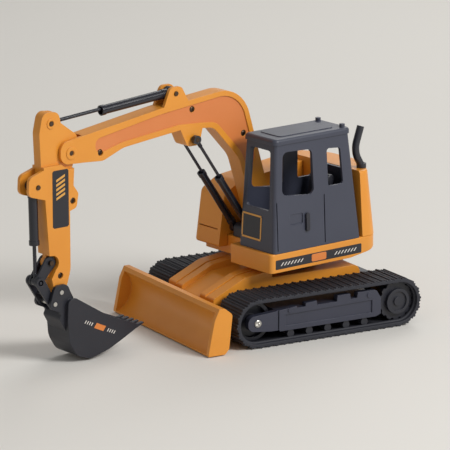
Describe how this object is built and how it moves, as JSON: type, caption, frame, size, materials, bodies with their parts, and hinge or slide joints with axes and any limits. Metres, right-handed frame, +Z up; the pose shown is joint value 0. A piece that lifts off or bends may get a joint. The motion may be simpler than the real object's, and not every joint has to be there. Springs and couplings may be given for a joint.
{
  "type": "rc excavator",
  "caption": "Toy crawler excavator with rubber tracks, swinging cab, bent boom, arm, bucket, dozer blade and working cylinders.",
  "frame": {"origin": "on the ground, on the axis that the upper structure turns about", "axes": "+X to the front (blade and bucket), +Y to the machine's left (the cab's side), +Z up"},
  "size_m": [0.2736, 0.127, 0.166],
  "materials": {
    "black_abs": "matt moulded plastic",
    "bright_steel": "nickel plated",
    "yellow_abs": "satin moulded plastic",
    "slate_abs": "satin moulded plastic",
    "track_rubber": "matt rubber",
    "battery_wrap": "gloss",
    "motor_can": "brushed",
    "circuit_green": "matt"
  },
  "bodies": {
    "undercarriage": {"chassis": "black_abs", "chassis_screws": "bright_steel", "chassis_cover": "yellow_abs", "turntable_ring": "black_abs", "track_frame_left": "slate_abs", "track_frame_right": "slate_abs", "road_rollers_left": "black_abs", "road_rollers_right": "black_abs", "track_belt_left": "track_rubber", "track_belt_right": "track_rubber", "drive_gearbox_left": "black_abs", "drive_gearbox_right": "black_abs", "idler_axles": "bright_steel", "battery_cells": "battery_wrap", "battery_cover": "black_abs", "blade_pins": "bright_steel"},
    "idler_left": {"idler_left": "black_abs"},
    "idler_right": {"idler_right": "black_abs"},
    "sprocket_left": {"sprocket_left": "black_abs"},
    "sprocket_right": {"sprocket_right": "black_abs"},
    "power_switch": {"power_switch": "black_abs"},
    "blade": {"blade": "yellow_abs"},
    "upper_structure": {"turntable_plate": "black_abs", "deck": "yellow_abs", "rear_body": "yellow_abs", "engine_hood": "yellow_abs", "cab_shell": "slate_abs", "door_handle": "black_abs", "cab_roof": "slate_abs", "seat": "black_abs", "control_levers": "black_abs", "exhaust_stack": "black_abs", "boom_bracket": "black_abs", "upper_pins": "bright_steel", "swing_motor": "motor_can", "boom_motor": "motor_can", "circuit_board": "circuit_green"},
    "boom": {"boom_half_left": "yellow_abs", "boom_half_right": "yellow_abs", "boom_screws": "bright_steel", "boom_pins": "bright_steel", "arm_motor": "motor_can"},
    "arm": {"arm_half_left": "yellow_abs", "arm_half_right": "yellow_abs", "arm_screws": "bright_steel", "arm_pins": "bright_steel", "bucket_motor": "motor_can"},
    "bucket": {"bucket_shell": "black_abs", "bucket_teeth": "black_abs", "bucket_pins": "bright_steel"},
    "rocker": {"rocker": "black_abs"},
    "bucket_link": {"bucket_link": "black_abs"},
    "boom_barrel_left": {"boom_barrel_left": "black_abs"},
    "boom_barrel_right": {"boom_barrel_right": "black_abs"},
    "boom_rod_left": {"boom_rod_left": "bright_steel"},
    "boom_rod_right": {"boom_rod_right": "bright_steel"},
    "arm_barrel": {"arm_barrel": "black_abs"},
    "arm_rod": {"arm_rod": "bright_steel"},
    "bucket_barrel": {"bucket_barrel": "black_abs"},
    "bucket_rod": {"bucket_rod": "bright_steel"}
  },
  "joints": [
    {"name": "swing", "type": "hinge", "parent": "undercarriage", "child": "upper_structure", "pos_m": [0, 0, 0.044], "axis": [0, 0, 1], "continuous": true},
    {"name": "boom_raise", "type": "hinge", "parent": "upper_structure", "child": "boom", "pos_m": [0.01393, -0.00488, 0.068], "axis": [0.1564, -0.9877, 0], "range_deg": [-25, 20]},
    {"name": "arm_crowd", "type": "hinge", "parent": "boom", "child": "arm", "pos_m": [0.16969, 0.01979, 0.1348], "axis": [-0.1564, 0.9877, 0], "range_deg": [-25, 28]},
    {"name": "bucket_curl", "type": "hinge", "parent": "arm", "child": "bucket", "pos_m": [0.18056, 0.02151, 0.0474], "axis": [-0.1564, 0.9877, 0], "range_deg": [-50, 10]},
    {"name": "blade_lift", "type": "hinge", "parent": "undercarriage", "child": "blade", "pos_m": [0.0595, 0, 0.013], "axis": [0, -1, 0], "range_deg": [-0.5, 8]},
    {"name": "power_slide", "type": "slide", "parent": "undercarriage", "child": "power_switch", "axis": [1, 0, 0], "range_m": [0, 0.003]},
    {"name": "sprocket_turn_left", "type": "hinge", "parent": "undercarriage", "child": "sprocket_left", "pos_m": [-0.0535, 0.0475, 0.0165], "axis": [0, 1, 0], "continuous": true},
    {"name": "idler_turn_left", "type": "hinge", "parent": "undercarriage", "child": "idler_left", "pos_m": [0.0535, 0.0475, 0.0165], "axis": [0, 1, 0], "continuous": true},
    {"name": "sprocket_turn_right", "type": "hinge", "parent": "undercarriage", "child": "sprocket_right", "pos_m": [-0.0535, -0.0475, 0.0165], "axis": [0, 1, 0], "continuous": true},
    {"name": "idler_turn_right", "type": "hinge", "parent": "undercarriage", "child": "idler_right", "pos_m": [0.0535, -0.0475, 0.0165], "axis": [0, 1, 0], "continuous": true},
    {"name": "boom_barrel_pivot_left", "type": "hinge", "parent": "upper_structure", "child": "boom_barrel_left", "pos_m": [0.02637, 0.0061, 0.062], "axis": [0.1564, -0.9877, 0], "range_deg": [-26.43, 21.18]},
    {"name": "boom_rod_pivot_left", "type": "hinge", "parent": "boom", "child": "boom_rod_left", "pos_m": [0.0722, 0.01336, 0.1301], "axis": [0.1564, -0.9877, 0], "range_deg": [-1.43, 1.18]},
    {"name": "boom_barrel_pivot_right", "type": "hinge", "parent": "upper_structure", "child": "boom_barrel_right", "pos_m": [0.02916, -0.01148, 0.062], "axis": [0.1564, -0.9877, 0], "range_deg": [-26.43, 21.18]},
    {"name": "boom_rod_pivot_right", "type": "hinge", "parent": "boom", "child": "boom_rod_right", "pos_m": [0.07498, -0.00422, 0.1301], "axis": [0.1564, -0.9877, 0], "range_deg": [-1.43, 1.18]},
    {"name": "arm_barrel_pivot", "type": "hinge", "parent": "boom", "child": "arm_barrel", "pos_m": [0.08762, 0.00679, 0.1617], "axis": [-0.1564, 0.9877, 0], "range_deg": [-3.5, 3.9]},
    {"name": "arm_rod_pivot", "type": "hinge", "parent": "arm", "child": "arm_rod", "pos_m": [0.18322, 0.02193, 0.1551], "axis": [-0.1564, 0.9877, 0], "range_deg": [-24.5, 21.9]},
    {"name": "rocker_pivot", "type": "hinge", "parent": "arm", "child": "rocker", "pos_m": [0.1853, 0.02226, 0.0662], "axis": [-0.1564, 0.9877, 0], "range_deg": [-29.7, 6.1]},
    {"name": "bucket_link_pivot", "type": "hinge", "parent": "bucket", "child": "bucket_link", "pos_m": [0.1856, 0.02231, 0.0405], "axis": [-0.1564, 0.9877, 0], "range_deg": [-10.69, 52.65]},
    {"name": "bucket_barrel_pivot", "type": "hinge", "parent": "arm", "child": "bucket_barrel", "pos_m": [0.19547, 0.02387, 0.1167], "axis": [-0.1564, 0.9877, 0], "range_deg": [-4.75, 1.11]},
    {"name": "bucket_rod_pivot", "type": "hinge", "parent": "rocker", "child": "bucket_rod", "pos_m": [0.19419, 0.02367, 0.055], "axis": [-0.1564, 0.9877, 0], "range_deg": [-5.19, 25.15]}
  ],
  "couplings": [
    {"joint": "idler_turn_left", "follows": "sprocket_turn_left", "ratio": 1},
    {"joint": "idler_turn_right", "follows": "sprocket_turn_right", "ratio": 1},
    {"joint": "boom_barrel_pivot_left", "follows": "boom_raise", "ratio": 1.049},
    {"joint": "boom_rod_pivot_left", "follows": "boom_raise", "ratio": 0.049},
    {"joint": "boom_barrel_pivot_right", "follows": "boom_raise", "ratio": 1.049},
    {"joint": "boom_rod_pivot_right", "follows": "boom_raise", "ratio": 0.049},
    {"joint": "arm_barrel_pivot", "follows": "arm_crowd", "ratio": 0.132},
    {"joint": "arm_rod_pivot", "follows": "arm_crowd", "ratio": -0.868},
    {"joint": "rocker_pivot", "follows": "bucket_curl", "ratio": 0.59},
    {"joint": "bucket_link_pivot", "follows": "bucket_curl", "ratio": -1.049},
    {"joint": "bucket_barrel_pivot", "follows": "bucket_curl", "ratio": 0.0909},
    {"joint": "bucket_rod_pivot", "follows": "bucket_curl", "ratio": -0.499}
  ]
}
